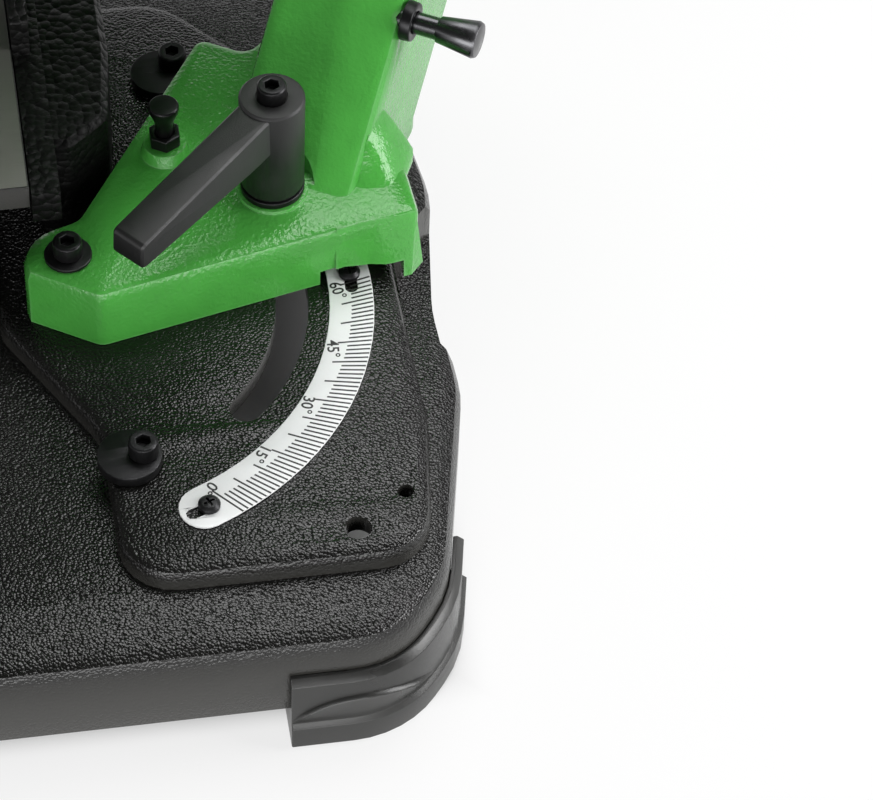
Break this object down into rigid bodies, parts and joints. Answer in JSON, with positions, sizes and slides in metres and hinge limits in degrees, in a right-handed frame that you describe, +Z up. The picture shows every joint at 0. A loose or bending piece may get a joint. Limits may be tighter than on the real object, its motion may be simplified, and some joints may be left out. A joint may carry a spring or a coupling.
{
  "type": "swivel head metal band saw",
  "caption": "Swivel-head metal band saw with cast base, degree scale, vise, swivelling arm with clamp lever and a sprung bow with blade, guides, motor and handle.",
  "frame": {"origin": "on the floor, under the middle of the machine's box at rest", "axes": "+Z up, +X along the blade when the scale reads 0 degrees, +Y along the workpiece towards the rear"},
  "size_m": [0.5932, 0.6006, 0.8446],
  "materials": {
    "black_cast": "black textured paint on a casting",
    "rubber": "satin moulded rubber",
    "scale": "white printed aluminium strip",
    "black_oxide": "black oxide on steel",
    "steel": "bare machined steel",
    "green_paint": "glossy green paint with slight orange peel",
    "black_plastic": "fine matte black moulding"
  },
  "bodies": {
    "base": {"base_casting": "black_cast", "foot_front_right": "rubber", "foot_front_left": "rubber", "foot_rear_right": "rubber", "foot_rear_left": "rubber", "degree_scale": "scale", "scale_screw_zero": "black_oxide", "scale_screw_sixty": "black_oxide", "front_stop_disc": "black_oxide", "front_stop_screw": "black_oxide", "rear_stop_disc": "black_oxide", "rear_stop_screw": "black_oxide", "vise_table": "black_cast", "fixed_jaw": "black_cast", "vise_nut_block": "steel"},
    "arm": {"swivel_arm": "green_paint", "pivot_screw": "black_oxide", "pivot_washer": "black_oxide", "stop_screw": "black_oxide", "stop_nut": "black_oxide", "lever_washer": "black_oxide", "clamp_stud": "steel", "clamp_plate": "steel", "lock_pin_bush": "black_oxide", "hinge_pin": "steel", "return_spring": "steel"},
    "clamp_lever": {"clamp_lever": "black_plastic", "lever_screw": "black_oxide"},
    "lock_pin": {"lock_pin": "steel"},
    "bow": {"bow_frame": "green_paint", "wheel_cover": "green_paint", "gearbox": "green_paint", "motor_housing": "black_plastic", "motor_end_cap": "black_plastic", "cable_gland": "black_plastic", "blade": "steel", "right_guide_bracket": "green_paint", "guide_rail": "steel", "handle": "black_plastic"},
    "drive_wheel": {"drive_wheel": "steel", "drive_shaft": "steel"},
    "tension_slide": {"tension_slide": "steel", "idler_axle": "steel"},
    "tension_knob": {"tension_knob": "black_plastic"},
    "idler_wheel": {"idler_wheel": "steel"},
    "left_guide": {"left_guide_arm": "green_paint", "blade_guard": "steel"},
    "guide_knob": {"guide_knob": "black_plastic"},
    "right_front_roller": {"right_front_roller": "steel"},
    "right_rear_roller": {"right_rear_roller": "steel"},
    "left_front_roller": {"left_front_roller": "steel"},
    "left_rear_roller": {"left_rear_roller": "steel"},
    "trigger": {"trigger": "black_plastic"},
    "speed_dial": {"speed_dial": "black_plastic"},
    "movable_jaw": {"movable_jaw": "black_cast"},
    "vise_screw": {"vise_screw": "steel", "vise_handwheel": "black_cast"},
    "handwheel_grip": {"handwheel_grip": "black_plastic"}
  },
  "joints": [
    {"name": "swivel", "type": "hinge", "parent": "base", "child": "arm", "pos_m": [0.03874, -0.07502, 0.09], "axis": [0, 0, 1], "range_deg": [-60, 0]},
    {"name": "bow_lift", "type": "hinge", "parent": "arm", "child": "bow", "pos_m": [0.17724, 0.16487, 0.24164], "axis": [-0.866, 0.5, 0], "range_deg": [-50, 0], "stiffness_Nm_per_rad": 25, "springref_deg": 114.59},
    {"name": "clamp_lever_turn", "type": "hinge", "parent": "arm", "child": "clamp_lever", "pos_m": [0.13202, -0.04746, 0.14], "axis": [0, 0, 1], "range_deg": [-10, 60]},
    {"name": "lock_pin_slide", "type": "slide", "parent": "arm", "child": "lock_pin", "axis": [-0.866, 0.5, 0], "range_m": [0, 0.01]},
    {"name": "drive_spin", "type": "hinge", "parent": "bow", "child": "drive_wheel", "pos_m": [0.08028, 0.10529, 0.3104], "axis": [0.8832, 0.1156, 0.4545], "continuous": true},
    {"name": "tension_knob_turn", "type": "hinge", "parent": "bow", "child": "tension_knob", "pos_m": [-0.13471, -0.21617, 0.73069], "axis": [0.3214, 0.5567, -0.766], "range_deg": [0, 1440]},
    {"name": "tension_move", "type": "slide", "parent": "bow", "child": "tension_slide", "axis": [0.3214, 0.5567, -0.766], "range_m": [0, 0.005]},
    {"name": "idler_spin", "type": "hinge", "parent": "tension_slide", "child": "idler_wheel", "pos_m": [-0.07431, -0.16246, 0.67887], "axis": [0.8832, 0.1156, 0.4545], "continuous": true},
    {"name": "guide_move", "type": "slide", "parent": "bow", "child": "left_guide", "axis": [0.3214, 0.5567, -0.766], "range_m": [0, 0.08]},
    {"name": "guide_knob_turn", "type": "hinge", "parent": "left_guide", "child": "guide_knob", "pos_m": [-0.04386, -0.08144, 0.5991], "axis": [0.8832, 0.1156, 0.4545], "range_deg": [0, 180]},
    {"name": "right_front_roller_spin", "type": "hinge", "parent": "bow", "child": "right_front_roller", "pos_m": [0.07536, -0.02885, 0.3675], "axis": [0.383, 0.6634, 0.6428], "continuous": true},
    {"name": "right_rear_roller_spin", "type": "hinge", "parent": "bow", "child": "right_rear_roller", "pos_m": [0.06042, -0.02023, 0.3675], "axis": [0.383, 0.6634, 0.6428], "continuous": true},
    {"name": "left_front_roller_spin", "type": "hinge", "parent": "left_guide", "child": "left_front_roller", "pos_m": [-0.00339, -0.16524, 0.55518], "axis": [0.383, 0.6634, 0.6428], "continuous": true},
    {"name": "left_rear_roller_spin", "type": "hinge", "parent": "left_guide", "child": "left_rear_roller", "pos_m": [-0.01833, -0.15661, 0.55518], "axis": [0.383, 0.6634, 0.6428], "continuous": true},
    {"name": "trigger_pull", "type": "slide", "parent": "bow", "child": "trigger", "axis": [-0.3214, -0.5567, 0.766], "range_m": [0, 0.005]},
    {"name": "dial_turn", "type": "hinge", "parent": "bow", "child": "speed_dial", "pos_m": [-0.10151, -0.20393, 0.77309], "axis": [0.8832, 0.1156, 0.4545], "range_deg": [0, 270]},
    {"name": "jaw_slide", "type": "slide", "parent": "base", "child": "movable_jaw", "axis": [1, 0, 0], "range_m": [-0.055, 0.058]},
    {"name": "screw_turn", "type": "hinge", "parent": "movable_jaw", "child": "vise_screw", "pos_m": [-0.03756, 0.03848, 0.112], "axis": [1, 0, 0], "continuous": true},
    {"name": "grip_spin", "type": "hinge", "parent": "vise_screw", "child": "handwheel_grip", "pos_m": [-0.26226, 0.03848, 0.148], "axis": [1, 0, 0], "continuous": true}
  ],
  "couplings": [
    {"joint": "idler_spin", "follows": "drive_spin", "ratio": 1},
    {"joint": "right_front_roller_spin", "follows": "drive_spin", "ratio": -9.58},
    {"joint": "right_rear_roller_spin", "follows": "drive_spin", "ratio": 9.58},
    {"joint": "left_front_roller_spin", "follows": "drive_spin", "ratio": -9.58},
    {"joint": "left_rear_roller_spin", "follows": "drive_spin", "ratio": 9.58}
  ]
}
